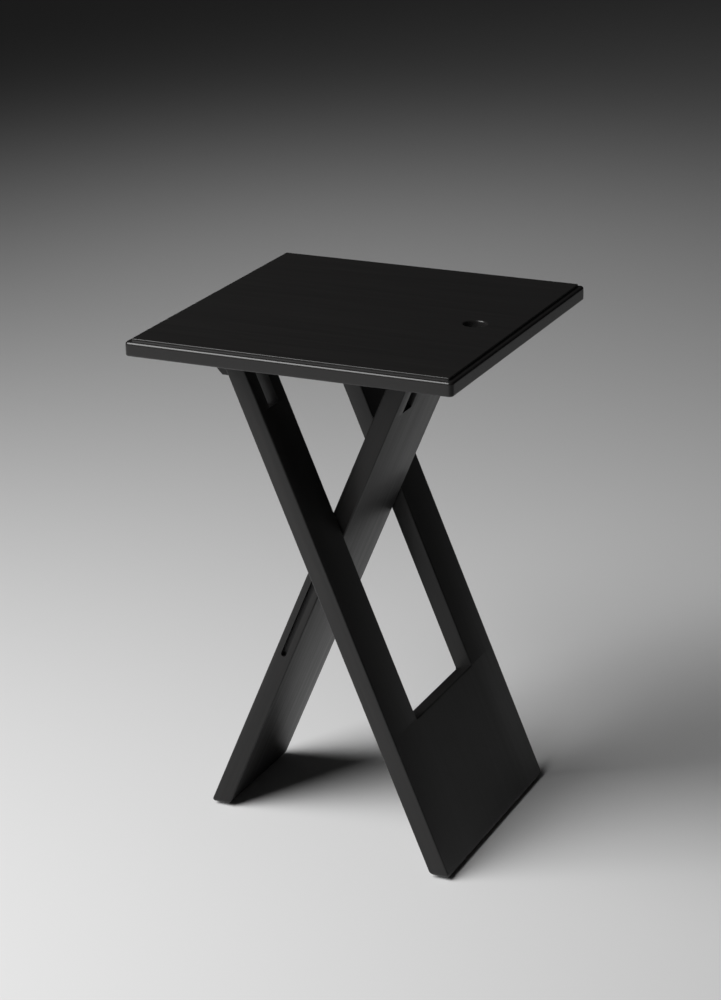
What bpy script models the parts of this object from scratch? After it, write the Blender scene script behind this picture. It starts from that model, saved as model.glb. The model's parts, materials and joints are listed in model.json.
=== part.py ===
"""Folding tray table: a square top carried by two crossed plank legs.

The outer leg is a frame, two rails glued to a foot panel with dowels, and the inner leg is one
plank that passes through the frame's window. Both hinge on pins through wooden blocks under the
top. Guide pins in the rails run in grooves in the inner leg's edges, so when the top's right
side is lifted the inner leg is drawn up into the window, until everything lies in one plane.

Metres, +Z up. X runs along the front, from the outer leg's hinge to the inner leg's, and Y runs
to the back. The origin is on the floor, under the middle of the top.
"""
import math

import bmesh
import bpy
from mathutils import Matrix

# Whole table
TABLE_HEIGHT = 0.610
TOP_WIDTH = 0.385
TOP_DEPTH = 0.400
SEAT_GAP = 0.0003  # between two pieces that touch

# Top: a slab with a slightly raised field
TOP_THICKNESS = 0.019
TOP_CORNER_RADIUS = 0.005
TOP_EDGE_RADIUS = 0.0028
FIELD_INSET = 0.006
FIELD_STEP = 0.0028
FIELD_RISER = 0.0004  # how far the field's rim leans in
FINGER_HOLE_DIAMETER = 0.026
FINGER_HOLE_FROM_EDGE = 0.0555

# Legs
LEG_LEAN = math.radians(23.0)
PLANK_THICKNESS = 0.0223
PLANK_EDGE_RADIUS = 0.0018
FOOT_CORNER_RADIUS = 0.006
PIVOT_SPACING = 0.1748
PIVOT_CLEARANCE = 0.00185  # the legs' round ends stay this far below the top
OUTER_WIDTH = 0.295
RAIL_WIDTH = 0.065
LEG_SIDE_GAP = 0.0055  # between a rail and the inner leg
FOLDED_TIP_GAP = 0.0005  # between the inner leg's tip and the foot panel, folded

# Hinge blocks and the slots that they turn in
BLOCK_WIDTH = 0.0225
BLOCK_DEPTH = 0.033
BLOCK_ARM = 0.050
BLOCK_HEEL = 0.0043
BLOCK_FLAT = 0.025
BLOCK_NOSE = 0.014
BLOCK_NOSE_RADIUS = 0.010
BLOCK_EDGE_RADIUS = 0.0008
SLOT_SIDE_GAP = 0.00075
OUTER_SLOT_RELIEF = 0.0080
INNER_SLOT_RELIEF = 0.0133
INNER_BLOCK_SPREAD = 0.080

# Pins, dowels and grooves
HINGE_PIN_DIAMETER = 0.006
HINGE_PIN_RECESS = 0.001
INNER_PIN_LENGTH = 0.060
GUIDE_PIN_DIAMETER = 0.006
GUIDE_PIN_SET = 0.018
GROOVE_CLEARANCE = 0.0003
GROOVE_DEPTH = 0.006
DOWEL_DIAMETER = 0.008
DOWEL_LENGTH = 0.040
DOWEL_PLACES = (("upper", 0.25), ("lower", 0.75))  # shares of the panel's length, down from the sill
PIN_CHAMFER = 0.0005

# Screws that hold the blocks to the top
SCREW_DIAMETER = 0.004
SCREW_HEAD_DIAMETER = 0.008
SCREW_HEAD_HEIGHT = 0.0026
SCREW_SEAT = 0.005
SCREW_GRIP = 0.012
SCREW_FROM_HEEL = 0.0070
SCREW_SPACING = 0.015

# Foot pads
PAD_THICKNESS = 0.0022
PAD_LENGTH = 0.045
PAD_WIDTH = 0.014
PAD_FROM_END = 0.014
PAD_EDGE_RADIUS = 0.0006

# Facets on a full circle, and steps on a corner's arc
ROUND_SIDES = 20
HOLE_SIDES = 40
CORNER_STEPS = 6
END_STEPS = 8

# Worked out from the values above
UNDERSIDE = TABLE_HEIGHT - TOP_THICKNESS
PIVOT_DROP = PLANK_THICKNESS / 2 + PIVOT_CLEARANCE
PIVOT_HEIGHT = UNDERSIDE - PIVOT_DROP
FOOT_LEVEL = PAD_THICKNESS + SEAT_GAP
CROSS_DISTANCE = PIVOT_SPACING / 2 / math.sin(LEG_LEAN)
WINDOW_WIDTH = OUTER_WIDTH - 2 * RAIL_WIDTH
INNER_WIDTH = WINDOW_WIDTH - 2 * LEG_SIDE_GAP
RAIL_CENTRE = (OUTER_WIDTH - RAIL_WIDTH) / 2
SLOT_WIDTH = BLOCK_WIDTH + 2 * SLOT_SIDE_GAP
BLOCK_REACH = math.hypot(BLOCK_ARM, PIVOT_DROP)
PLANK_TIP = (PIVOT_HEIGHT - FOOT_LEVEL + PLANK_THICKNESS / 2 * math.sin(LEG_LEAN)) / math.cos(LEG_LEAN)
PAD_TIP = PIVOT_HEIGHT / math.cos(LEG_LEAN) + PAD_WIDTH / 2 * math.sin(LEG_LEAN)
SILL_DISTANCE = max(PLANK_TIP, PAD_TIP) - PIVOT_SPACING + FOLDED_TIP_GAP

# The two sides of a symmetric part: its name and the sign of its Y
SIDES = (("front", -1), ("back", 1))

LACQUER = (0.016, 0.015, 0.015)
LACQUER_ROUGHNESS = 0.38
BIRCH = (0.62, 0.47, 0.30)
STEEL = (0.60, 0.60, 0.62)
PIN_ROUGHNESS = 0.35
RUBBER = (0.030, 0.030, 0.030)
RUBBER_ROUGHNESS = 0.8


def clear_scene():
    for old in list(bpy.data.objects):
        bpy.data.objects.remove(old, do_unlink=True)


def new_collection(name):
    collection = bpy.data.collections.new(name)
    bpy.context.scene.collection.children.link(collection)
    return collection


def new_empty(name, location, turn=0.0, parent=None):
    """An empty whose Y axis is a hinge line; turn is its angle about Y."""
    empty = bpy.data.objects.new(name, None)
    empty.empty_display_size = 0.03
    empty.location = location
    empty.rotation_euler = (0.0, turn, 0.0)
    empty.parent = parent
    parts.objects.link(empty)
    return empty


def finish(piece, colour, roughness, metallic=0.0):
    """Give a piece a material of its own."""
    material = bpy.data.materials.new(piece.name)
    material.use_nodes = True
    shader = material.node_tree.nodes["Principled BSDF"]
    shader.inputs["Base Color"].default_value = (*colour, 1.0)
    shader.inputs["Roughness"].default_value = roughness
    shader.inputs["Metallic"].default_value = metallic
    piece.data.materials.append(material)


def new_piece(name, mesh, parent, location=(0.0, 0.0, 0.0), cutter=False):
    """Place a mesh under its parent, among the parts or among the cutters."""
    piece = bpy.data.objects.new(name, mesh)
    piece.parent = parent
    piece.location = location
    (cutters if cutter else parts).objects.link(piece)
    if cutter:
        piece.hide_render = True
        piece.display_type = "WIRE"
    return piece


def mesh_from(name, shape):
    """Turn a bmesh into a mesh."""
    mesh = bpy.data.meshes.new(name)
    shape.to_mesh(mesh)
    shape.free()
    return mesh


def box_mesh(name, size, centre=(0.0, 0.0, 0.0)):
    shape = bmesh.new()
    bmesh.ops.create_cube(shape, size=1.0)
    bmesh.ops.scale(shape, vec=size, verts=shape.verts)
    bmesh.ops.translate(shape, vec=centre, verts=shape.verts)
    return mesh_from(name, shape)


def rod_mesh(name, diameter, start, end, x=0.0, z=0.0, sides=ROUND_SIDES):
    """A round bar along Y from start to end."""
    shape = bmesh.new()
    bmesh.ops.create_cone(shape, cap_ends=True, segments=sides, radius1=diameter / 2,
                          radius2=diameter / 2, depth=abs(end - start))
    bmesh.ops.rotate(shape, matrix=Matrix.Rotation(math.pi / 2, 3, "X"), verts=shape.verts)
    bmesh.ops.translate(shape, vec=(x, (start + end) / 2, z), verts=shape.verts)
    mesh = mesh_from(name, shape)
    mesh.shade_smooth()
    mesh.set_sharp_from_angle(angle=math.radians(40))
    return mesh


def arc(centre_x, centre_z, radius, start, end, steps):
    """Points along an arc, with its angles in degrees from +X towards +Z."""
    points = []
    for step in range(steps + 1):
        angle = math.radians(start + (end - start) * step / steps)
        points.append((centre_x + radius * math.cos(angle), centre_z + radius * math.sin(angle)))
    return points


def outline_mesh(name, points, depth, centre_y=0.0):
    """A flat outline in X and Z, given its thickness along Y."""
    curve = bpy.data.curves.new(name, "CURVE")
    curve.dimensions = "2D"
    curve.fill_mode = "BOTH"
    curve.extrude = depth / 2
    spline = curve.splines.new("POLY")
    spline.points.add(len(points) - 1)
    for point, (x, z) in zip(spline.points, points):
        point.co = (x, z, 0.0, 1.0)
    spline.use_cyclic_u = True
    holder = bpy.data.objects.new(name, curve)
    parts.objects.link(holder)
    graph = bpy.context.evaluated_depsgraph_get()
    flat = bpy.data.meshes.new_from_object(holder.evaluated_get(graph))
    bpy.data.objects.remove(holder, do_unlink=True)

    shape = bmesh.new()
    shape.from_mesh(flat)
    bpy.data.meshes.remove(flat)
    bmesh.ops.remove_doubles(shape, verts=shape.verts, dist=0.00002)
    bmesh.ops.dissolve_limit(shape, angle_limit=math.radians(1), verts=shape.verts,
                             edges=shape.edges)
    bmesh.ops.rotate(shape, matrix=Matrix.Rotation(math.pi / 2, 3, "X"), verts=shape.verts)
    bmesh.ops.translate(shape, vec=(0.0, centre_y, 0.0), verts=shape.verts)
    bmesh.ops.recalc_face_normals(shape, faces=shape.faces)
    return mesh_from(name, shape)


def half_outline_mesh(profile):
    """Edges of a turned piece's half outline, which a Screw modifier spins about Z."""
    mesh = bpy.data.meshes.new("profile")
    edges = [(index, index + 1) for index in range(len(profile) - 1)]
    mesh.from_pydata([(radius, 0.0, height) for radius, height in profile], edges, [])
    return mesh


def spin(piece, sides=ROUND_SIDES):
    screw = piece.modifiers.new("turn", "SCREW")
    screw.steps = sides
    screw.render_steps = sides
    screw.use_merge_vertices = True
    screw.merge_threshold = 0.00001
    screw.use_smooth_shade = False


def soften(piece, radius, segments=2):
    """Round a piece's sharp edges."""
    bevel = piece.modifiers.new("edges", "BEVEL")
    bevel.width = radius
    bevel.segments = segments
    bevel.limit_method = "ANGLE"
    bevel.angle_limit = math.radians(35)


def cut(piece, cutter):
    boolean = piece.modifiers.new(cutter.name, "BOOLEAN")
    boolean.operation = "DIFFERENCE"
    boolean.solver = "EXACT"
    boolean.object = cutter


def foot_distance(x, lean_sign):
    """How far below the pivot the foot's cut is, on a plank's line at x across it."""
    return (PIVOT_HEIGHT - FOOT_LEVEL + lean_sign * x * math.sin(LEG_LEAN)) / math.cos(LEG_LEAN)


def plank_outline(lean_sign, top_distance=None):
    """A leg's side: a round end about the pivot, or a square one, and a foot cut level."""
    half = PLANK_THICKNESS / 2
    if top_distance is None:
        head = arc(0.0, 0.0, half, 0, 180, ROUND_SIDES // 2)
    else:
        head = [(half, -top_distance), (-half, -top_distance)]
    return head + [(-half, -foot_distance(-half, lean_sign)), (half, -foot_distance(half, lean_sign))]


def round_foot_corners(mesh, outer_sides):
    """Round the foot's corners on the wide faces, on the sides named by the sign of their Y."""
    shape = bmesh.new()
    shape.from_mesh(mesh)
    reach = {sign: max(vert.co.y * sign for vert in shape.verts) for sign in outer_sides}
    near_foot = foot_distance(0.0, 1) - PLANK_THICKNESS
    corners = []
    for edge in shape.edges:
        low = all(vert.co.z < -near_foot for vert in edge.verts)
        for sign, limit in reach.items():
            at_side = all(abs(vert.co.y * sign - limit) < 0.0001 for vert in edge.verts)
            across = abs(edge.verts[0].co.x - edge.verts[1].co.x) > PLANK_THICKNESS / 2
            if low and at_side and across:
                corners.append(edge)
    bmesh.ops.bevel(shape, geom=corners, offset=FOOT_CORNER_RADIUS, segments=CORNER_STEPS,
                    profile=0.5, affect="EDGES")
    shape.to_mesh(mesh)
    shape.free()


def top_mesh():
    """The slab, its edges rounded and its top face stepped up into the field."""
    slab = TOP_THICKNESS - FIELD_STEP
    shape = bmesh.new()
    bmesh.ops.create_cube(shape, size=1.0)
    bmesh.ops.scale(shape, vec=(TOP_WIDTH, TOP_DEPTH, slab), verts=shape.verts)
    upright = [edge for edge in shape.edges if abs(edge.verts[0].co.z - edge.verts[1].co.z) > slab / 2]
    bmesh.ops.bevel(shape, geom=upright, offset=TOP_CORNER_RADIUS, segments=5, profile=0.5,
                    affect="EDGES")
    rims = [edge for edge in shape.edges if abs(edge.verts[0].co.z - edge.verts[1].co.z) < slab / 2]
    bmesh.ops.bevel(shape, geom=rims, offset=TOP_EDGE_RADIUS, segments=4, profile=0.5, affect="EDGES")
    face = max(shape.faces, key=lambda each: each.calc_center_median().z + each.calc_area())
    bmesh.ops.inset_region(shape, faces=[face], thickness=FIELD_INSET - TOP_EDGE_RADIUS)
    bmesh.ops.inset_region(shape, faces=[face], thickness=FIELD_RISER, depth=FIELD_STEP)
    bmesh.ops.translate(shape, vec=(0.0, 0.0, UNDERSIDE + slab / 2), verts=shape.verts)
    return mesh_from("tabletop", shape)


def block_outline():
    """A hinge block's side, about its pivot: a long bevelled arm, and a round nose."""
    top = PIVOT_DROP - SEAT_GAP
    bottom = PIVOT_DROP - BLOCK_DEPTH
    nose = arc(BLOCK_NOSE - BLOCK_NOSE_RADIUS, bottom + BLOCK_NOSE_RADIUS, BLOCK_NOSE_RADIUS, -90, 0,
               CORNER_STEPS)
    return [(-BLOCK_ARM, top), (-BLOCK_ARM, PIVOT_DROP - BLOCK_HEEL), (-BLOCK_FLAT, bottom)] + nose + [
        (BLOCK_NOSE, top)]


def screw_profile(grow=0.0, head_length=SCREW_HEAD_HEIGHT):
    """Half outline of a screw that points up, from its tip down to its head's underside.

    Heights are from the seat under the head, and grow is added all round for its hole.
    """
    shank = SCREW_DIAMETER / 2 + grow
    head = SCREW_HEAD_DIAMETER / 2 + grow
    tip = SCREW_SEAT + SCREW_GRIP + grow
    return [(0.0, tip), (shank, tip - shank), (shank, grow), (head, grow), (head, -head_length),
            (0.0, -head_length)]


def make_tabletop(swing):
    offset = [-value for value in swing.location]
    mesh = top_mesh()
    mesh.transform(Matrix.Translation(offset))
    top = new_piece("tabletop", mesh, swing)
    finish(top, LACQUER, LACQUER_ROUGHNESS)
    hole_x = TOP_WIDTH / 2 - FINGER_HOLE_FROM_EDGE + offset[0]
    hole = bmesh.new()
    bmesh.ops.create_cone(hole, cap_ends=True, segments=HOLE_SIDES, radius1=FINGER_HOLE_DIAMETER / 2,
                          radius2=FINGER_HOLE_DIAMETER / 2, depth=3 * TOP_THICKNESS)
    middle = (hole_x, 0.0, PIVOT_DROP + TOP_THICKNESS / 2)
    cut(top, new_piece("cut_finger_hole", mesh_from("cut_finger_hole", hole), swing, middle, cutter=True))
    return top


def make_block(name, swing, pivot_x, centre_y, top):
    """A hinge block at pivot_x from the top's own pivot, bored for its pin and its screws."""
    mesh = outline_mesh(name, block_outline(), BLOCK_WIDTH)
    place = (pivot_x, centre_y, 0.0)
    block = new_piece(name, mesh, swing, place)
    finish(block, LACQUER, LACQUER_ROUGHNESS)
    soften(block, BLOCK_EDGE_RADIUS)
    bore = rod_mesh("bore", HINGE_PIN_DIAMETER + 2 * SEAT_GAP, -BLOCK_WIDTH, BLOCK_WIDTH)
    cut(block, new_piece("cut_bore_" + name, bore, swing, place, cutter=True))
    for number in range(2):
        screw_x = pivot_x - BLOCK_ARM + SCREW_FROM_HEEL + number * SCREW_SPACING
        seat = (screw_x, centre_y, PIVOT_DROP - SCREW_SEAT)
        screw_name = name.replace("hinge_block", "block_screw") + "_" + "ab"[number]
        screw = new_piece(screw_name, half_outline_mesh(screw_profile()), swing, seat)
        spin(screw)
        finish(screw, STEEL, PIN_ROUGHNESS, 1.0)
        hole_mesh = half_outline_mesh(screw_profile(SEAT_GAP, BLOCK_DEPTH))
        hole = new_piece("cut_" + screw_name, hole_mesh, swing, seat, cutter=True)
        spin(hole)
        cut(block, hole)
        cut(top, hole)


def bore_plank(plank, frame, name, diameter, start, end, distance=0.0):
    """Drill a plank along Y, this far below its pivot."""
    mesh = rod_mesh(name, diameter + 2 * SEAT_GAP, start, end, z=-distance)
    cut(plank, new_piece(name, mesh, frame, cutter=True))


def cut_slot(plank, frame, name, centre_y, depth):
    """The open-topped slot that a hinge block turns in."""
    size = (3 * PLANK_THICKNESS, SLOT_WIDTH, depth + PLANK_THICKNESS)
    centre = (0.0, centre_y, (PLANK_THICKNESS - depth) / 2)
    cut(plank, new_piece(name, box_mesh(name, size, centre), frame, cutter=True))


def make_pin(name, frame, diameter, start, end, distance, colour, metallic):
    pin = new_piece(name, rod_mesh(name, diameter, start, end, z=-distance), frame)
    soften(pin, PIN_CHAMFER, 1)
    finish(pin, colour, PIN_ROUGHNESS, metallic)


def make_rail(side, sign, frame):
    """One rail of the outer leg, with its slot, hinge pin and guide pin."""
    name = "outer_rail_" + side
    mesh = outline_mesh(name, plank_outline(1), RAIL_WIDTH, sign * RAIL_CENTRE)
    round_foot_corners(mesh, [sign])
    rail = new_piece(name, mesh, frame)
    soften(rail, PLANK_EDGE_RADIUS)
    finish(rail, LACQUER, LACQUER_ROUGHNESS)
    cut_slot(rail, frame, "cut_slot_" + name, sign * RAIL_CENTRE, BLOCK_REACH + OUTER_SLOT_RELIEF)

    outer_edge = sign * OUTER_WIDTH / 2
    inner_edge = sign * WINDOW_WIDTH / 2
    through = sign * (OUTER_WIDTH / 2 + RAIL_WIDTH)
    bore_plank(rail, frame, "cut_hinge_" + name, HINGE_PIN_DIAMETER, 0.0, through)
    make_pin("hinge_pin_outer_" + side, frame, HINGE_PIN_DIAMETER, outer_edge - sign * HINGE_PIN_RECESS,
             inner_edge + sign * HINGE_PIN_RECESS, 0.0, STEEL, 1.0)

    deep = inner_edge + sign * GUIDE_PIN_SET
    bore_plank(rail, frame, "cut_guide_" + name, GUIDE_PIN_DIAMETER, 0.0, deep + sign * SEAT_GAP,
               CROSS_DISTANCE)
    reach = sign * (INNER_WIDTH / 2 + SEAT_GAP)
    make_pin("guide_pin_" + side, frame, GUIDE_PIN_DIAMETER, reach, deep, CROSS_DISTANCE, STEEL, 1.0)
    return rail


def make_foot_panel(frame):
    """The panel between the rails' feet: its upper end is the window's sill."""
    width = WINDOW_WIDTH - 2 * SEAT_GAP
    mesh = outline_mesh("outer_foot_panel", plank_outline(1, SILL_DISTANCE), width)
    panel = new_piece("outer_foot_panel", mesh, frame)
    soften(panel, PLANK_EDGE_RADIUS)
    finish(panel, LACQUER, LACQUER_ROUGHNESS)
    return panel


def join_with_dowels(rail, panel, side, sign, frame):
    """Two dowels across the seam between a rail and the foot panel."""
    seam = sign * WINDOW_WIDTH / 2
    half = DOWEL_LENGTH / 2
    panel_length = foot_distance(0.0, 1) - SILL_DISTANCE
    for level, share in DOWEL_PLACES:
        distance = SILL_DISTANCE + share * panel_length
        name = "dowel_" + side + "_" + level
        make_pin(name, frame, DOWEL_DIAMETER, seam - half, seam + half, distance, BIRCH, 0.0)
        mesh = rod_mesh("cut_" + name, DOWEL_DIAMETER + 2 * SEAT_GAP, seam - half - SEAT_GAP,
                        seam + half + SEAT_GAP, z=-distance)
        hole = new_piece("cut_" + name, mesh, frame, cutter=True)
        cut(rail, hole)
        cut(panel, hole)


def make_inner_leg(frame):
    """The plank that passes through the window, with its slots, bores and edge grooves."""
    mesh = outline_mesh("inner_leg", plank_outline(-1), INNER_WIDTH)
    round_foot_corners(mesh, [-1, 1])
    leg = new_piece("inner_leg", mesh, frame)
    soften(leg, PLANK_EDGE_RADIUS)
    finish(leg, LACQUER, LACQUER_ROUGHNESS)
    edge = INNER_WIDTH / 2
    groove_radius = GUIDE_PIN_DIAMETER / 2 + GROOVE_CLEARANCE
    lower = -CROSS_DISTANCE - PIVOT_SPACING
    groove = arc(0.0, -CROSS_DISTANCE, groove_radius, 0, 180, END_STEPS)
    groove += arc(0.0, lower, groove_radius, 180, 360, END_STEPS)
    for side, sign in SIDES:
        cut_slot(leg, frame, "cut_slot_inner_" + side, sign * INNER_BLOCK_SPREAD / 2,
                 BLOCK_REACH + INNER_SLOT_RELIEF)
        start = sign * (edge - HINGE_PIN_RECESS)
        end = start - sign * INNER_PIN_LENGTH
        bore_plank(leg, frame, "cut_hinge_inner_" + side, HINGE_PIN_DIAMETER, 2 * start,
                   end - sign * SEAT_GAP)
        make_pin("hinge_pin_inner_" + side, frame, HINGE_PIN_DIAMETER, start, end, 0.0, STEEL, 1.0)
        shape = outline_mesh("cut_groove_" + side, groove, 2 * GROOVE_DEPTH, sign * edge)
        cut(leg, new_piece("cut_groove_" + side, shape, frame, cutter=True))


def make_pads(leg_name, width, frame, foot_x):
    """Pads under a leg's two corners. They lie level, so their turn undoes the leg's lean."""
    radius = PAD_WIDTH / 2
    straight = PAD_LENGTH / 2 - radius
    outline = arc(straight, 0.0, radius, -90, 90, END_STEPS)
    outline += arc(-straight, 0.0, radius, 90, 270, END_STEPS)
    for side, sign in SIDES:
        name = "foot_pad_" + leg_name + "_" + side
        mesh = outline_mesh(name, outline, PAD_THICKNESS)
        mesh.transform(Matrix.Rotation(math.pi / 2, 4, "Z") @ Matrix.Rotation(math.pi / 2, 4, "X"))
        pad = new_piece(name, mesh, frame)
        centre_y = sign * (width / 2 - PAD_FROM_END - PAD_LENGTH / 2)
        level = Matrix.Translation((foot_x, centre_y, PAD_THICKNESS / 2))
        bpy.context.view_layer.update()
        pad.matrix_basis = frame.matrix_world.inverted() @ level
        soften(pad, PAD_EDGE_RADIUS)
        finish(pad, RUBBER, RUBBER_ROUGHNESS)


def make_table():
    """Every piece, each under the empty that stands on its hinge line."""
    half = PIVOT_SPACING / 2
    outer = new_empty("outer_leg_frame", (-half, 0.0, PIVOT_HEIGHT), -LEG_LEAN)
    swing = new_empty("top_hinge", (-half, 0.0, PIVOT_HEIGHT))
    inner = new_empty("inner_leg_hinge", (PIVOT_SPACING, 0.0, 0.0), LEG_LEAN, swing)
    top = make_tabletop(swing)
    panel = make_foot_panel(outer)
    for side, sign in SIDES:
        rail = make_rail(side, sign, outer)
        join_with_dowels(rail, panel, side, sign, outer)
        make_block("hinge_block_outer_" + side, swing, 0.0, sign * RAIL_CENTRE, top)
        make_block("hinge_block_inner_" + side, swing, PIVOT_SPACING, sign * INNER_BLOCK_SPREAD / 2, top)
    make_inner_leg(inner)
    foot_x = PIVOT_HEIGHT * math.tan(LEG_LEAN) - half
    make_pads("outer", OUTER_WIDTH, outer, foot_x)
    make_pads("inner", INNER_WIDTH, inner, -foot_x)


clear_scene()
parts = new_collection("folding_tray_table")
cutters = new_collection("cutters")
make_table()
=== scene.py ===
# Folding tray table: black lacquered wood, a stepped top on two crossed legs that fold flat.
# Metres, +Z up. New pieces are grids of points worked out with numpy.
import json
import math

import bpy
import numpy as np
from mathutils import Matrix, Vector


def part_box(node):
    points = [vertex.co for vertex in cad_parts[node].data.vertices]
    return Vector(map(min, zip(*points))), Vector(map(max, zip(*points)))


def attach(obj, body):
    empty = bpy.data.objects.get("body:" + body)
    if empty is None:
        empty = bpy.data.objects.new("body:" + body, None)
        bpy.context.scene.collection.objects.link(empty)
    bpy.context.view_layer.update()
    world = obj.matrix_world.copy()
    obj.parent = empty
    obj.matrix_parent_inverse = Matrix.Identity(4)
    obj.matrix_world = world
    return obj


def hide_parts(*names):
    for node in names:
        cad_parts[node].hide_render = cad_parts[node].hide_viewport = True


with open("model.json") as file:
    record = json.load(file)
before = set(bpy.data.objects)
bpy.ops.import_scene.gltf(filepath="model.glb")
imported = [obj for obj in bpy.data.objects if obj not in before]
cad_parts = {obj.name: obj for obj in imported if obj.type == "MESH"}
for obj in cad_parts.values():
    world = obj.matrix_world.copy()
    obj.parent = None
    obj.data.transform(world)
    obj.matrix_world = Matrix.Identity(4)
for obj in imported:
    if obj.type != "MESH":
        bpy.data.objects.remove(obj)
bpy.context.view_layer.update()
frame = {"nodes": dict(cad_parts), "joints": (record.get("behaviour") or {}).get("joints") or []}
joints = {joint["name"]: joint for joint in frame["joints"]}
sides = {"front": -1.0, "back": 1.0}
creaseAngle = math.radians(38)
print("frame loaded:", len(frame["nodes"]), "nodes")


def outward(points, faces):
    # turns the faces round if the closed shape's signed volume is negative
    tris = np.array([(f[0], f[i], f[i + 1]) for f in faces for i in range(1, len(f) - 1)])
    a, b, c = points[tris[:, 0]], points[tris[:, 1]], points[tris[:, 2]]
    total = np.einsum("ij,ij->i", a, np.cross(b, c)).sum()
    return faces if total > 0 else [face[::-1] for face in faces]


def gridShell(grid):
    # grid is rows x columns x 3: each row a closed loop. The rows are joined in order and the
    # first and last row are closed with one flat face each
    rows, columns = grid.shape[:2]
    index = np.arange(rows * columns).reshape(rows, columns)
    after = np.roll(index, -1, axis=1)
    quads = np.stack([index[:-1], after[:-1], after[1:], index[1:]], axis=-1).reshape(-1, 4)
    faces = quads.tolist() + [index[0][::-1].tolist(), index[-1].tolist()]
    points = grid.reshape(-1, 3)
    return points, outward(points, faces)


def ringShell(grid):
    # as gridShell, but the last row joins the first, so that the shape is a closed ring
    rows, columns = grid.shape[:2]
    index = np.arange(rows * columns).reshape(rows, columns)
    below = np.roll(index, -1, axis=0)
    right, corner = np.roll(index, -1, axis=1), np.roll(below, -1, axis=1)
    quads = np.stack([index, right, corner, below], axis=-1)
    points = grid.reshape(-1, 3)
    return points, outward(points, quads.reshape(-1, 4).tolist())


def addObject(name, data):
    thing = bpy.data.objects.new(name, data)
    bpy.context.scene.collection.objects.link(thing)
    return thing


def mergedMesh(name, shells):
    # one mesh from closed shells: each shell's corner numbers go up by the points before it
    points, faces, offset = [], [], 0
    for shellPoints, shellFaces in shells:
        points.append(shellPoints)
        faces += [[corner + offset for corner in face] for face in shellFaces]
        offset += len(shellPoints)
    mesh = bpy.data.meshes.new(name)
    mesh.from_pydata(np.concatenate(points).tolist(), [], faces)
    return mesh


def shade(mesh):
    # smooth over gentle bends, sharp where faces meet at more than the crease angle
    mesh.shade_smooth()
    mesh.set_sharp_from_angle(angle=creaseAngle)


def makePiece(name, shells, body, material, replaced):
    # one object from closed shells, riding on a body and standing for CAD nodes
    mesh = mergedMesh(name, shells)
    shade(mesh)
    mesh.materials.append(material)
    piece = addObject(name, mesh)
    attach(piece, body)
    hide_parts(*replaced)
    return piece


def subtract(piece, shells):
    # cuts closed shells out of a piece and keeps its material
    cutter = addObject("cutter", mergedMesh("cutter", shells))
    boolean = piece.modifiers.new("bores", "BOOLEAN")
    boolean.operation = "DIFFERENCE"
    boolean.solver = "EXACT"
    boolean.object = cutter
    graph = bpy.context.evaluated_depsgraph_get()
    result = bpy.data.meshes.new_from_object(piece.evaluated_get(graph))
    piece.modifiers.clear()
    piece.data = result
    bpy.data.objects.remove(cutter, do_unlink=True)
    shade(result)


def turned(profile, start, axis, count=40):
    # a turned shape: the profile is (distance along the axis, radius) pairs, spun about the axis
    axis = np.array(axis, float)
    side = np.cross(axis, (0.3, 0.2, 1.0))
    side /= np.linalg.norm(side)
    other = np.cross(axis, side)
    angle = np.linspace(0, 2 * np.pi, count, endpoint=False)
    ring = np.cos(angle)[:, None] * side + np.sin(angle)[:, None] * other
    profile = np.array(profile, float)
    along = profile[:, 0][:, None, None] * axis
    return gridShell(np.array(start, float) + along + profile[:, 1][:, None, None] * ring)


def quarter(steps):
    # (1 - cos, sin) of a quarter turn: how far in and how far along a rounded edge is
    turn = np.linspace(0, np.pi / 2, steps)
    return 1 - np.cos(turn), np.sin(turn)


def principled(name):
    material = bpy.data.materials.new(name)
    material.use_nodes = True
    return material, material.node_tree.nodes, material.node_tree.links


def addNoise(nodes, links, vector, scale, detail):
    noise = nodes.new("ShaderNodeTexNoise")
    noise.inputs["Scale"].default_value = scale
    noise.inputs["Detail"].default_value = detail
    links.new(vector, noise.inputs["Vector"])
    return noise


def addTint(nodes, links, value, colours, stops=(0.0, 1.0)):
    # a colour that goes from one to another as the value goes from stop to stop
    tint = nodes.new("ShaderNodeValToRGB")
    for number in range(2):
        tint.color_ramp.elements[number].position = stops[number]
        tint.color_ramp.elements[number].color = (*colours[number], 1.0)
    links.new(value, tint.inputs["Fac"])
    return tint.outputs["Color"]


def addRange(nodes, links, value, source, target):
    # carries the source range of a value onto the target range
    ranged = nodes.new("ShaderNodeMapRange")
    ranged.inputs["From Min"].default_value = source[0]
    ranged.inputs["From Max"].default_value = source[1]
    ranged.inputs["To Min"].default_value = target[0]
    ranged.inputs["To Max"].default_value = target[1]
    links.new(value, ranged.inputs["Value"])
    return ranged.outputs["Result"]


def addBump(nodes, links, height, strength, distance, under=None):
    # relief from a height, on top of the relief under it
    bump = nodes.new("ShaderNodeBump")
    bump.inputs["Strength"].default_value = strength
    bump.inputs["Distance"].default_value = distance
    links.new(height, bump.inputs["Height"])
    if under is not None:
        links.new(under, bump.inputs["Normal"])
    return bump.outputs["Normal"]


lacquerLook = {
    "dark": (0.0080, 0.0078, 0.0078),
    "warm": (0.0150, 0.0142, 0.0138),
    "stopBelow": 0.18,
    "stopAbove": 0.22,
    "coatRoughness": 0.18,
    "alongGrain": 0.035,
    "figureScale": 150.0,
    "figureDetail": 6.0,
    "figureRoughness": 0.6,
    "figureDistortion": 0.4,
    "figureRange": (0.3, 0.7),
    "figureDepth": 0.00025,
    "poreScale": 1500.0,
    "poreDetail": 3.0,
    "poreShare": 0.6,
    "poreDepth": 0.0001,
    "waveScale": 22.0,
    "waveDetail": 2.0,
    "waveBump": 0.10,
    "waveDepth": 0.0006,
    "smoother": 0.05,
    "rougher": 0.06,
}


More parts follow.
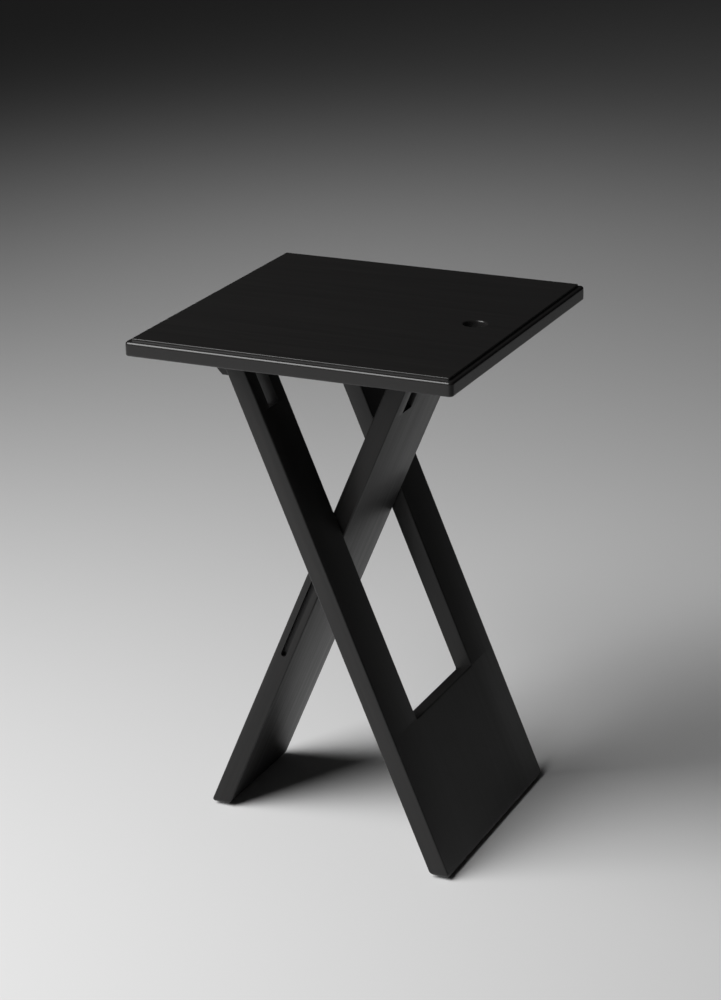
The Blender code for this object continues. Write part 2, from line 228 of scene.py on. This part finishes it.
def lacquer(name, turn, grainAxis, rough, grain, specular, coat=0.08, colourSpread=1.0):
    # black lacquer over open-grained wood. Two noises are stretched along the grain, a broad one
    # for figure and a fine one for pores; a third makes slow waves in the ground. turn brings the
    # grain's direction onto a model axis
    look = lacquerLook
    material, nodes, links = principled(name)
    shader = nodes["Principled BSDF"]
    shader.inputs["Coat Weight"].default_value = coat
    shader.inputs["Coat Roughness"].default_value = look["coatRoughness"]
    shader.inputs["Specular IOR Level"].default_value = specular
    coords = nodes.new("ShaderNodeTexCoord")
    placed = nodes.new("ShaderNodeMapping")
    placed.vector_type = "POINT"
    placed.inputs["Rotation"].default_value = (0.0, turn, 0.0)
    links.new(coords.outputs["Object"], placed.inputs["Vector"])
    stretch = nodes.new("ShaderNodeMapping")
    scales = [look["alongGrain"] if axis == grainAxis else 1.0 for axis in range(3)]
    stretch.inputs["Scale"].default_value = scales
    links.new(placed.outputs["Vector"], stretch.inputs["Vector"])

    grainVector = stretch.outputs["Vector"]
    figureNoise = addNoise(nodes, links, grainVector, look["figureScale"], look["figureDetail"])
    figureNoise.inputs["Roughness"].default_value = look["figureRoughness"]
    figureNoise.inputs["Distortion"].default_value = look["figureDistortion"]
    poreNoise = addNoise(nodes, links, grainVector, look["poreScale"], look["poreDetail"])
    waveNoise = addNoise(nodes, links, coords.outputs["Object"], look["waveScale"],
                         look["waveDetail"])
    figure, pores, waves = (noise.outputs["Fac"] for noise in (figureNoise, poreNoise, waveNoise))

    stops = (0.5 - look["stopBelow"] * colourSpread, 0.5 + look["stopAbove"] * colourSpread)
    colour = addTint(nodes, links, figure, (look["dark"], look["warm"]), stops)
    links.new(colour, shader.inputs["Base Color"])
    roughRange = (rough - look["smoother"], rough + look["rougher"])
    sheen = addRange(nodes, links, figure, look["figureRange"], roughRange)
    links.new(sheen, shader.inputs["Roughness"])

    ground = addBump(nodes, links, waves, look["waveBump"], look["waveDepth"])
    figured = addBump(nodes, links, figure, grain, look["figureDepth"], ground)
    pored = addBump(nodes, links, pores, look["poreShare"] * grain, look["poreDepth"], figured)
    links.new(pored, shader.inputs["Normal"])
    return material


def brushedSteel(name, colour, rough):
    # bright steel with fine random scratches in its roughness
    material, nodes, links = principled(name)
    shader = nodes["Principled BSDF"]
    shader.inputs["Base Color"].default_value = (*colour, 1.0)
    shader.inputs["Metallic"].default_value = 1.0
    coords = nodes.new("ShaderNodeTexCoord")
    scratches = addNoise(nodes, links, coords.outputs["Object"], 900.0, 4.0).outputs["Fac"]
    spread = addRange(nodes, links, scratches, (0.0, 1.0), (rough - 0.1, rough + 0.15))
    links.new(spread, shader.inputs["Roughness"])
    return material


def speckled(name, dark, light, scale, rough, bump):
    # a matt material with a fine mottle in its colour and its surface
    material, nodes, links = principled(name)
    shader = nodes["Principled BSDF"]
    shader.inputs["Roughness"].default_value = rough
    coords = nodes.new("ShaderNodeTexCoord")
    mottle = addNoise(nodes, links, coords.outputs["Object"], scale, 5.0).outputs["Fac"]
    links.new(addTint(nodes, links, mottle, (dark, light)), shader.inputs["Base Color"])
    links.new(addBump(nodes, links, mottle, bump, 0.0002), shader.inputs["Normal"])
    return material


legLean = math.radians(joints["top_fold"]["range_deg"][1] - 90.0)
topLacquer = lacquer("topLacquer", 0.0, 0, rough=0.20, grain=0.03, specular=0.42, coat=0.0,
                     colourSpread=2.6)
outerLacquer = lacquer("outerLacquer", legLean, 2, rough=0.40, grain=0.20, specular=0.37)
innerLacquer = lacquer("innerLacquer", -legLean, 2, rough=0.44, grain=0.20, specular=0.30)
blockLacquer = lacquer("blockLacquer", 0.0, 0, rough=0.44, grain=0.25, specular=0.36)
pinSteel = brushedSteel("pinSteel", (0.55, 0.55, 0.57), rough=0.32)
screwSteel = brushedSteel("screwSteel", (0.60, 0.59, 0.56), rough=0.30)
padRubber = speckled("padRubber", (0.012, 0.012, 0.012), (0.035, 0.034, 0.033), scale=700.0,
                     rough=0.82, bump=0.35)
dowelWood = speckled("dowelWood", (0.45, 0.32, 0.18), (0.66, 0.51, 0.33), scale=220.0,
                     rough=0.6, bump=0.2)
print("materials made")


topLow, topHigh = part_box("tabletop")
topShape = {
    "cornerRadius": 0.005,
    "edgeRound": 0.0030,
    "bottomRound": 0.0018,
    "ledge": 0.006,
    "step": 0.0028,
    "fieldRound": 0.0007,
    "coveRise": 0.0002,
    "coveOut": 0.0003,
    "bendMargin": 0.0004,
    "holeRadius": 0.0130,
    "holeFromEdge": 0.0555,
    "holeLip": 0.0020,
    "wallRows": 6,
    "smallestRadius": 0.0012,
    "cornerPoints": 14,
    "edgePoints": 110,
    "fieldShares": (0.004, 0.02, 0.08, 0.25, 0.5, 0.75, 0.92, 0.985, 0.998, 1.0),
    "underShares": (0.002, 0.02, 0.1, 0.35, 0.65, 0.9, 0.98, 0.996, 1.0),
}


def roundedLoop(inset):
    # a rectangle with round corners, inset from the top's outline, as a loop of points. Each
    # corner has the same number of points at every inset, and so has each straight edge
    halfX = (topHigh.x - topLow.x) / 2 - inset
    halfY = (topHigh.y - topLow.y) / 2 - inset
    radius = max(topShape["cornerRadius"] - inset, topShape["smallestRadius"])
    turn = np.linspace(0, np.pi / 2, topShape["cornerPoints"])
    ends = []
    for number, (signX, signY) in enumerate(((1, 1), (-1, 1), (-1, -1), (1, -1))):
        angle = turn + number * np.pi / 2
        ends.append(np.stack([signX * (halfX - radius) + radius * np.cos(angle),
                              signY * (halfY - radius) + radius * np.sin(angle)], axis=1))
    share = np.linspace(0, 1, topShape["edgePoints"] + 2)[1:-1, None]
    loop = []
    for number in range(4):
        start, stop = ends[number][-1], ends[(number + 1) % 4][0]
        loop += [ends[number], start + (stop - start) * share]
    return np.concatenate(loop)


def topRow(inset, height):
    # the loop at this inset, lying level at this height
    loop = roundedLoop(inset)
    return np.column_stack([loop, np.full(len(loop), height)])


def makeTop():
    # a ring of rows: from the hole's wall over its lip, across the field to the step, over the
    # ledge and the round edge, down and under, and back to the hole. Across the field and the
    # underside a row is a share of the way from the hole's circle to the outline. A round edge of
    # radius r has its points at r (1 - sin t) and r (1 - cos t) from its two faces
    shape = topShape
    high, low = topHigh.z, topLow.z
    ledge, cove, margin = shape["ledge"], shape["coveOut"], shape["bendMargin"]
    ledgeHeight = high - shape["step"]
    holeCentre = np.array([topHigh.x - shape["holeFromEdge"], 0.0])
    toOutline = roundedLoop(ledge) - holeCentre
    ray = toOutline / np.linalg.norm(toOutline, axis=1)[:, None]

    def holeRow(radius, height):
        return np.column_stack([holeCentre + ray * radius, np.full(len(ray), height)])

    def between(rowA, rowB, shares):
        return [rowA + (rowB - rowA) * share for share in shares]

    hole, lip = shape["holeRadius"], shape["holeLip"]
    rows = [holeRow(hole, z) for z in np.linspace(low + lip, high - lip, shape["wallRows"])]
    inward, onward = quarter(7)
    rows += [holeRow(hole + lip * i, high - lip + lip * o) for i, o in zip(inward[1:], onward[1:])]
    soft = shape["fieldRound"]
    rows += between(rows[-1], topRow(ledge + soft, high), shape["fieldShares"])
    rows += [topRow(ledge + soft * (1 - math.sin(t)), high - soft * (1 - math.cos(t)))
             for t in np.linspace(0, np.pi / 2, 6)[1:]]
    rows += [topRow(ledge, ledgeHeight + shape["coveRise"]), topRow(ledge - cove, ledgeHeight)]
    turns = np.linspace(0, np.pi / 2, 9)
    soft = shape["edgeRound"]
    rows += [topRow(ledge - 2 * cove, ledgeHeight), topRow(soft + cove, ledgeHeight)]
    rows += [topRow(soft * (1 - math.sin(t)), ledgeHeight - soft * (1 - math.cos(t)))
             for t in turns]
    rows += [topRow(0.0, ledgeHeight - soft - margin)]
    soft = shape["bottomRound"]
    rows += [topRow(0.0, low + soft + margin)]
    rows += [topRow(soft * (1 - math.cos(t)), low + soft * (1 - math.sin(t))) for t in turns]
    rows += between(rows[-1], holeRow(hole + lip, low), shape["underShares"])
    rows += [holeRow(hole + lip * (1 - math.sin(t)), low + lip * (1 - math.cos(t)))
             for t in turns[1:-1]]
    shell = ringShell(np.array(rows))
    makePiece("lacqueredTop", [shell], "top", topLacquer, ("tabletop",))


makeTop()
print("top made")


legShape = {
    "edgeRound": 0.0019,
    "slotEdgeRound": 0.0010,
    "footRound": 0.0060,
    "footCorner": 0.0063,
    "cornerSteps": 6,
    "headSteps": 14,
    "headStart": 0.03,
    "headRoundShare": 1.5,
    "headInsetShare": 3,
    "slotRows": 6,
    "slotStart": 0.002,
    "slotWidth": 0.0240,
    "outerSlotDepth": 0.05966,
    "innerSlotDepth": 0.06496,
    "grooveWidth": 0.0066,
    "grooveDepth": 0.006,
    "sillRound": 0.0016,
    "sillGap": 0.0005,
    "sillRows": (-0.003, -0.0015, 0.0002),
    "shearLength": 0.05,
    "rowMargin": 0.001,
}


def legFrame(name):
    # pivot, direction down the leg, and direction across it towards its upper face
    outer = name == "outer"
    joint = joints["top_fold"] if outer else joints["inner_leg_fold"]
    lean = 1.0 if outer else -1.0
    down = np.array([lean * math.sin(legLean), 0.0, -math.cos(legLean)])
    across = np.array([lean * math.cos(legLean), 0.0, math.sin(legLean)])
    return np.array(joint["pos_m"]), down, across


railLow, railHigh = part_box("outer_rail_front")
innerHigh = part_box("inner_leg")[1]
pivotHeight = joints["top_fold"]["pos_m"][2]
pivotSpacing = joints["inner_leg_fold"]["pos_m"][0] - joints["top_fold"]["pos_m"][0]
halfPlank = railHigh.z - pivotHeight
footHeight = railLow.z
footDistance = (pivotHeight - footHeight) / math.cos(legLean)
outerEdge = -railLow.y
windowEdge = -railHigh.y
innerEdge = innerHigh.y
pinDistance = pivotSpacing / 2 / math.sin(legLean)
padLow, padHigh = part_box("foot_pad_outer_front")
padHalf = (padHigh.x - padLow.x) / 2
tipDistance = max(footDistance + halfPlank * math.tan(legLean),
                  pivotHeight / math.cos(legLean) + padHalf * math.sin(legLean))
sillDistance = tipDistance - pivotSpacing + legShape["sillGap"]


def bar(leg, yLow, yHigh, along, rounds, thin, yInset=None, groove=None, footed=False):
    # a rounded rectangle carried down the leg. along holds each row's distance below the pivot,
    # rounds the four corner radii of each row (upper face low y, upper face high y, lower face
    # high y, lower face low y), thin how much of the thickness each row has, yInset how far each
    # side draws in, and groove the notch's half width and depth in each row. A footed bar's last
    # rows are sheared, by x tan(lean) (3 w^2 - 2 w^3) with w from 0 to 1 over the shear's length,
    # so that they lie level on the floor
    pivot, down, across = legFrame(leg)
    yInset = np.zeros((len(along), 2)) if yInset is None else yInset
    half = halfPlank * thin
    lowSide, highSide = yLow + yInset[:, 0], yHigh - yInset[:, 1]
    turn = np.linspace(0, np.pi / 2, legShape["cornerSteps"])
    corners = ((lowSide, 1, -1), (highSide, 1, 1), (highSide, -1, 1), (lowSide, -1, -1))
    xs, ys = [], []
    for number in range(4):
        radius = np.minimum(rounds[:, number], half * 0.999)[:, None]
        side, xSign, ySign = corners[number]
        first, second = np.sin(turn), np.cos(turn)
        if number % 2:
            first, second = second, first
        xs.append(xSign * (half[:, None] - radius * (1 - first)))
        ys.append(side[:, None] - ySign * radius * (1 - second))
        if groove is not None and number in (1, 3):
            width, depth = groove[:, 0][:, None], groove[:, 1][:, None]
            notchX = np.array([1, 1, -1, -1]) * width * xSign
            notchY = side[:, None] - ySign * depth * np.array([0, 1, 1, 0])
            xs.append(notchX)
            ys.append(notchY)
    x, y = np.concatenate(xs, axis=1), np.concatenate(ys, axis=1)
    distance = np.repeat(along[:, None], x.shape[1], axis=1)
    if footed:
        length = legShape["shearLength"]
        weight = np.clip((along - (footDistance - length)) / length, 0, 1)
        distance = distance + x * math.tan(legLean) * (weight ** 2 * (3 - 2 * weight))[:, None]
    grid = pivot + distance[..., None] * down + x[..., None] * across
    grid[..., 1] += y
    return gridShell(grid)


def cornersOf(count, lowSide, highSide):
    # the four corner radii of each row, in bar's order, from the radii at its low and high y
    columns = (lowSide, highSide, highSide, lowSide)
    return np.column_stack([np.broadcast_to(value, count) for value in columns]).astype(float)


def cheek(leg, yLow, yHigh, slotDepth, lowIsOuter, highIsOuter):
    # the part beside a slot: its end is half round about the pivot, so a row at -R cos(t) along
    # the leg has sin(t) of the thickness
    shape = legShape
    angle = np.linspace(shape["headStart"], np.pi / 2, shape["headSteps"])
    slotRows = np.linspace(shape["slotStart"], slotDepth, shape["slotRows"])
    along = np.concatenate([-halfPlank * np.cos(angle), slotRows])
    thin = np.concatenate([np.sin(angle), np.ones(shape["slotRows"])])
    outer, slotSide = shape["edgeRound"], shape["slotEdgeRound"]
    lowRound, highRound = (outer if isOuter else slotSide for isOuter in (lowIsOuter, highIsOuter))
    rounds = cornersOf(len(along), lowRound, highRound)
    rounds *= np.clip(thin * shape["headRoundShare"], 0, 1)[:, None]
    inset = outer * (1 - np.clip(thin * shape["headInsetShare"], 0, 1)) ** 2
    return bar(leg, yLow, yHigh, along, rounds, thin, np.column_stack([inset, inset]))


def footRows(start, extra=()):
    # distances from start to the foot, close together where its corners and edge are rounded
    corner, edge, shear = legShape["footCorner"], legShape["footRound"], legShape["shearLength"]
    straight = np.linspace(start, footDistance - shear - 0.005, 10)
    sheared = np.linspace(footDistance - shear, footDistance - corner - legShape["rowMargin"], 8)
    turn = np.linspace(0, np.pi / 2, 12)
    curve = footDistance - corner + (corner - edge) * np.sin(turn)
    last = footDistance - edge + edge * np.sin(np.linspace(0.15, np.pi / 2, 7))
    return np.unique(np.concatenate([straight, sheared, curve, last, np.array(extra)]))


def footThin(along):
    # the foot's edge: the thickness draws in along a quarter round of footRound
    past = np.clip(along - (footDistance - legShape["footRound"]), 0, legShape["footRound"])
    drawn = legShape["footRound"] - np.sqrt(legShape["footRound"] ** 2 - past ** 2)
    return 1 - drawn / halfPlank


def footCorner(along):
    # how far a side draws in at the foot: a quarter round of radius footCorner
    radius = legShape["footCorner"]
    past = np.clip(along - (footDistance - radius), 0, radius)
    return radius - np.sqrt(radius ** 2 - past ** 2)


def makeOuterFrame():
    # two rails and the panel between their feet, lacquered as one. The edges that meet at a
    # seam are square there, so that their faces run on
    rounds = legShape["edgeRound"]
    slotDepth, slotHalf = legShape["outerSlotDepth"], legShape["slotWidth"] / 2
    shells = []
    for sign in sides.values():
        centre = sign * (outerEdge + windowEdge) / 2
        low, high = sorted((sign * outerEdge, sign * windowEdge))
        slotLow, slotHigh = centre - slotHalf, centre + slotHalf
        shells.append(cheek("outer", low, slotLow, slotDepth, True, False))
        shells.append(cheek("outer", slotHigh, high, slotDepth, False, True))
        along = footRows(slotDepth, [sillDistance + step for step in legShape["sillRows"]])
        seam = np.where(along > sillDistance, 0.0, rounds)
        inset = footCorner(along)
        edges = ((rounds, inset), (seam, 0 * inset))
        (lowRound, lowInset), (highRound, highInset) = edges if sign < 0 else edges[::-1]
        shells.append(bar("outer", low, high, along, cornersOf(len(along), lowRound, highRound),
                          footThin(along), np.column_stack([lowInset, highInset]), footed=True))
    soft = legShape["sillRound"]
    turn = np.linspace(0, np.pi / 2, 7)
    sill = sillDistance + soft * (1 - np.sin(turn))[::-1]
    sillThin = 1 - soft * (1 - np.cos(turn))[::-1] / halfPlank
    belowSill = footRows(sillDistance + soft + legShape["rowMargin"])
    along = np.concatenate([sill, belowSill])
    thin = np.concatenate([sillThin, footThin(belowSill)])
    shells.append(bar("outer", -windowEdge, windowEdge, along, cornersOf(len(along), 0.0, 0.0),
                      thin, footed=True))
    makePiece("outerFrameLacquer", shells, "outer_leg", outerLacquer,
              ("outer_rail_front", "outer_rail_back", "outer_foot_panel"))


def makeInnerLeg():
    # one plank: three cheeks beside the two slots, and a body with a stopped groove in each edge.
    # At a distance d from its round end's centre the groove's half width is sqrt(r^2 - d^2)
    rounds = legShape["edgeRound"]
    slotDepth, slotHalf = legShape["innerSlotDepth"], legShape["slotWidth"] / 2
    blockLow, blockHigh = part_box("hinge_block_inner_back")
    blockY = abs(blockLow.y + blockHigh.y) / 2
    slotNear, slotFar = blockY - slotHalf, blockY + slotHalf
    shells = [cheek("inner", -innerEdge, -slotFar, slotDepth, True, False),
              cheek("inner", -slotNear, slotNear, slotDepth, False, False),
              cheek("inner", slotFar, innerEdge, slotDepth, False, True)]
    radius = legShape["grooveWidth"] / 2
    top, bottom = pinDistance - radius, pinDistance + pivotSpacing + radius
    nudge, leastWidth = 0.00005, 0.0001
    ends = radius * (1 - np.cos(np.linspace(0, np.pi / 2, 9)))
    extra = np.concatenate([[top - nudge, bottom + nudge], top + ends, bottom - ends])
    along = footRows(slotDepth, extra)
    inside = (along > top - nudge / 2) & (along < bottom + nudge / 2)
    fromEnd = np.clip(np.minimum(along - top, bottom - along), 0, radius)
    width = np.where(inside, np.sqrt(radius ** 2 - (radius - fromEnd) ** 2), 0.0)
    depth = np.where(inside, legShape["grooveDepth"], 0.0)
    groove = np.column_stack([np.maximum(width, leastWidth), depth])
    inset = footCorner(along)
    shells.append(bar("inner", -innerEdge, innerEdge, along, cornersOf(len(along), rounds, rounds),
                      footThin(along), np.column_stack([inset, inset]), groove, footed=True))
    makePiece("innerLegLacquer", shells, "inner_leg", innerLacquer, ("inner_leg",))


makeOuterFrame()
makeInnerLeg()
print("legs made")


blockShape = {
    "edgeRound": 0.0010,
    "arm": 0.050,
    "heel": 0.0043,
    "flat": 0.025,
    "nose": 0.014,
    "noseRadius": 0.010,
    "topRound": 0.0006,
    "bevelSoft": 0.0016,
    "boreRadius": 0.0044,
    "boreStart": 0.004,
    "boreSeat": 0.0024,
}


def roundedOutline(points, radii, steps=6):
    # a closed outline whose corners are replaced by arcs of the given radii. With the arc's sweep
    # s, its points from the centre are (sin((1 - t) s) start + sin(t s) stop) / sin(s)
    points = np.array(points, float)
    loop = []
    for number, radius in enumerate(radii):
        corner = points[number]
        before = points[number - 1] - corner
        after = points[(number + 1) % len(points)] - corner
        before, after = before / np.linalg.norm(before), after / np.linalg.norm(after)
        halfAngle = math.acos(float(np.clip(before @ after, -1, 1))) / 2
        middle = before + after
        centre = corner + middle / np.linalg.norm(middle) * radius / math.sin(halfAngle)
        start = corner + before * radius / math.tan(halfAngle) - centre
        stop = corner + after * radius / math.tan(halfAngle) - centre
        sweep = math.pi - 2 * halfAngle
        share = np.linspace(0, 1, steps)[:, None]
        arc = (np.sin((1 - share) * sweep) * start + np.sin(share * sweep) * stop) / math.sin(sweep)
        loop.append(centre + arc)
    return np.concatenate(loop)


def slab(loop, yLow, yHigh, edge, place):
    # a flat outline given its thickness along Y, with quarter round edges: towards each side the
    # outline draws in along its own normals
    tangent = np.roll(loop, -1, axis=0) - np.roll(loop, 1, axis=0)
    normal = np.column_stack([tangent[:, 1], -tangent[:, 0]])
    normal /= np.linalg.norm(normal, axis=1)[:, None]
    if np.sum(normal * (loop - loop.mean(axis=0))) < 0:
        normal = -normal
    turn = np.linspace(0, np.pi / 2, 6)
    drawIn = np.concatenate([edge * (1 - np.sin(turn)), edge * (1 - np.cos(turn))])
    height = np.concatenate([yLow + edge * (1 - np.cos(turn)), yHigh - edge * (1 - np.sin(turn))])
    rows = [place(loop - normal * inward, y) for inward, y in zip(drawIn, height)]
    return gridShell(np.array(rows))


def makeBlock(which, side):
    # a bevelled hardwood block, bored from below for its two screws
    name = f"hinge_block_{which}_{side}"
    low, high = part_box(name)
    pivotX = joints["top_fold" if which == "outer" else "inner_leg_fold"]["pos_m"][0]
    shape = blockShape
    top, bottom = high.z, low.z
    left, right = pivotX - shape["arm"], pivotX + shape["nose"]
    points = [(left, top), (left, topLow.z - shape["heel"]), (pivotX - shape["flat"], bottom),
              (right, bottom), (right, top)]
    radii = (shape["topRound"], shape["bevelSoft"], shape["bevelSoft"], shape["noseRadius"],
             shape["topRound"])
    loop = roundedOutline(points, radii)

    def place(flat, y):
        return np.column_stack([flat[:, 0], np.full(len(flat), y), flat[:, 1]])

    shell = slab(loop, low.y, high.y, shape["edgeRound"], place)
    block = makePiece(name.replace("_", "-"), [shell], "top", blockLacquer,
                      (name,))
    bores = []
    for letter in "ab":
        screwLow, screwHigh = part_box(f"block_screw_{which}_{side}_{letter}")
        middle = (screwLow + screwHigh) / 2
        start = (middle.x, middle.y, bottom - shape["boreStart"])
        depth = screwLow.z - start[2] + shape["boreSeat"]
        profile = [(0, shape["boreRadius"]), (depth, shape["boreRadius"])]
        bores.append(turned(profile, start, (0, 0, 1)))
    subtract(block, bores)


screwShape = {
    "headHeight": 0.0026,
    "shank": 0.0019,
    "shankEnd": -0.0170,
    "tip": 0.0004,
    "tipEnd": -0.0190,
    "faceMargin": 0.0006,
    "dome": 0.0007,
    "crossHalf": 0.00055,
    "crossSoft": 0.0002,
    "crossReach": 0.0026,
    "crossFade": 0.0003,
    "crossDepth": 0.0014,
    "seat": 0.0009,
}


def makeScrew(which, side, letter):
    # head and shank turned in one. The head's face is a polar grid: a low dome of height
    # d (1 - (r / R)^2) with a cross sunk into it, whose arms are the places near either axis and
    # within the cross's reach
    name = f"block_screw_{which}_{side}_{letter}"
    shape = screwShape
    low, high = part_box(name)
    middle = (low + high) / 2
    head, headHeight, shank = (high.x - low.x) / 2, shape["headHeight"], shape["shank"]
    angle = np.linspace(0, 2 * np.pi, 48, endpoint=False)
    radius = np.linspace(0.02, 1.0, 16)[:, None] * (head - shape["faceMargin"])
    x, y = radius * np.cos(angle), radius * np.sin(angle)
    dome = shape["dome"] * (1 - (radius / head) ** 2)
    arm = np.minimum(np.abs(x), np.abs(y))
    sunk = np.clip((shape["crossHalf"] - arm) / shape["crossSoft"], 0, 1)
    sunk = sunk * np.clip((shape["crossReach"] - radius) / shape["crossFade"], 0, 1)
    face = np.stack([x, y, np.broadcast_to(dome, x.shape) - shape["crossDepth"] * sunk], axis=-1)
    ring = np.stack([np.cos(angle), np.sin(angle), np.zeros_like(angle)], axis=-1)
    below = [(head - 0.0002, -0.0002), (head, -0.0006), (head, -headHeight + 0.0008),
             (head - 0.0008, -headHeight), (shank, -headHeight - 0.0002),
             (shank, shape["shankEnd"]), (shape["tip"], shape["tipEnd"])]
    rest = [ring * (r, r, 0) + (0, 0, z) for r, z in below]
    grid = np.concatenate([face, np.array(rest)])
    grid[..., 2] *= -1
    grid += (middle.x, middle.y, low.z + shape["seat"])
    makePiece(name.replace("_", "-"), [gridShell(grid)], "top", screwSteel, (name,))


pinShape = {"dome": 0.0006, "tip": 0.0002, "runOut": 0.0012}


def makePin(name, body, runOut=0.0):
    # a round pin along Y with slightly domed ends, longer than its node by runOut at each end
    low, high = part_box(name)
    dome = pinShape["dome"]
    radius = (high.z - low.z) / 2
    middle = (low + high) / 2
    length = high.y - low.y + 2 * runOut
    inward, onward = quarter(6)
    profile = [(0.0, pinShape["tip"])]
    profile += [(dome - dome * o, radius - dome + dome * (1 - i))
                for i, o in zip(inward[::-1], onward[::-1])]
    mirrored = [(length - along, r) for along, r in profile[::-1]]
    shell = turned(profile + mirrored, (middle.x, low.y - runOut, middle.z), (0, 1, 0))
    makePiece(name.replace("_", "-"), [shell], body, pinSteel, (name,))


for side in sides:
    for which in ("outer", "inner"):
        makeBlock(which, side)
        for letter in "ab":
            makeScrew(which, side, letter)
    makePin(f"hinge_pin_outer_{side}", "outer_leg", pinShape["runOut"])
    makePin(f"hinge_pin_inner_{side}", "inner_leg")
    makePin(f"guide_pin_{side}", "outer_leg")
    for level in ("upper", "lower"):
        dowel = frame["nodes"][f"dowel_{side}_{level}"]
        dowel.data.materials.clear()
        dowel.data.materials.append(dowelWood)
print("hinges made")


padShape = {"edgeRound": 0.0007, "endPoints": 24}


def makePad(leg, side):
    # a stadium of rubber with soft edges, flat on the floor
    name = f"foot_pad_{leg}_{side}"
    low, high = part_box(name)
    radius = (high.x - low.x) / 2
    middle = (low + high) / 2
    straight = (high.y - low.y) / 2 - radius
    angle = np.linspace(0, np.pi, padShape["endPoints"])
    upper = np.column_stack([radius * np.cos(angle), straight + radius * np.sin(angle)])
    loop = np.concatenate([upper, -upper]) + (middle.x, middle.y)

    def place(flat, z):
        return np.column_stack([flat, np.full(len(flat), z)])

    shell = slab(loop, low.z, high.z, padShape["edgeRound"], place)
    makePiece(name.replace("_", "-"), [shell], f"{leg}_leg", padRubber, (name,))


for side in sides:
    makePad("outer", side)
    makePad("inner", side)
print("pads made")


stageLook = {
    "floor": (0.66, 0.66, 0.66),
    "floorSize": 30.0,
    "floorRoughness": 0.9,
    "floorSpecular": 0.1,
    "world": 0.016,
}


def makeFloor():
    half = stageLook["floorSize"] / 2
    corners = [(-half, -half, 0), (half, -half, 0), (half, half, 0), (-half, half, 0)]
    mesh = bpy.data.meshes.new("floor")
    mesh.from_pydata(corners, [], [(0, 1, 2, 3)])
    material, nodes, links = principled("floorPaint")
    shader = nodes["Principled BSDF"]
    shader.inputs["Base Color"].default_value = (*stageLook["floor"], 1.0)
    shader.inputs["Roughness"].default_value = stageLook["floorRoughness"]
    shader.inputs["Specular IOR Level"].default_value = stageLook["floorSpecular"]
    mesh.materials.append(material)
    addObject("floor", mesh)


def makeLight(name, place, target, size, power, spread):
    # a square soft light; spread is how widely it fans out, in degrees
    light = bpy.data.lights.new(name, "AREA")
    light.size = size
    light.energy = power
    light.spread = math.radians(spread)
    lamp = addObject(name, light)
    lamp.location = place
    lamp.rotation_euler = (Vector(target) - Vector(place)).to_track_quat("-Z", "Y").to_euler()


cameraView = {
    "place": (1.2191, -2.6854, 1.4657),
    "turn": -0.4273,
    "tilt": 0.3515,
    "roll": -0.0108,
    "lens": 98.63,
    "sensor": 36.0,
}


def makeCamera():
    # the camera's turn is measured from +Y, its tilt down from the horizon
    turn, tilt, roll = cameraView["turn"], cameraView["tilt"], cameraView["roll"]
    level = math.cos(tilt)
    forward = Vector((math.sin(turn) * level, math.cos(turn) * level, -math.sin(tilt)))
    right = Vector((math.cos(turn), -math.sin(turn), 0.0))
    up = right.cross(forward)
    rolledRight = right * math.cos(roll) + up * math.sin(roll)
    rolledUp = up * math.cos(roll) - right * math.sin(roll)
    camera = addObject("camera", bpy.data.cameras.new("camera"))
    camera.data.lens = cameraView["lens"]
    camera.data.sensor_width = cameraView["sensor"]
    camera.data.clip_start = 0.05
    facing = Matrix((rolledRight, rolledUp, -forward)).transposed().to_4x4()
    camera.matrix_world = Matrix.Translation(cameraView["place"]) @ facing
    bpy.context.scene.camera = camera


def makeWorld():
    world = bpy.data.worlds.new("studio")
    world.use_nodes = True
    background = world.node_tree.nodes["Background"]
    background.inputs["Color"].default_value = (1, 1, 1, 1)
    background.inputs["Strength"].default_value = stageLook["world"]
    bpy.context.scene.world = world
    bpy.context.scene.view_settings.view_transform = "Standard"


makeFloor()
makeLight("key", (-1.6, -1.9, 2.2), (-0.2, -0.4, 0.0), size=2.7, power=61, spread=96)
makeLight("pool", (-1.1, 2.3, 2.2), (-1.1, 2.3, 0.0), size=0.8, power=0.8, spread=80)
makeWorld()
makeCamera()
print("stage made")
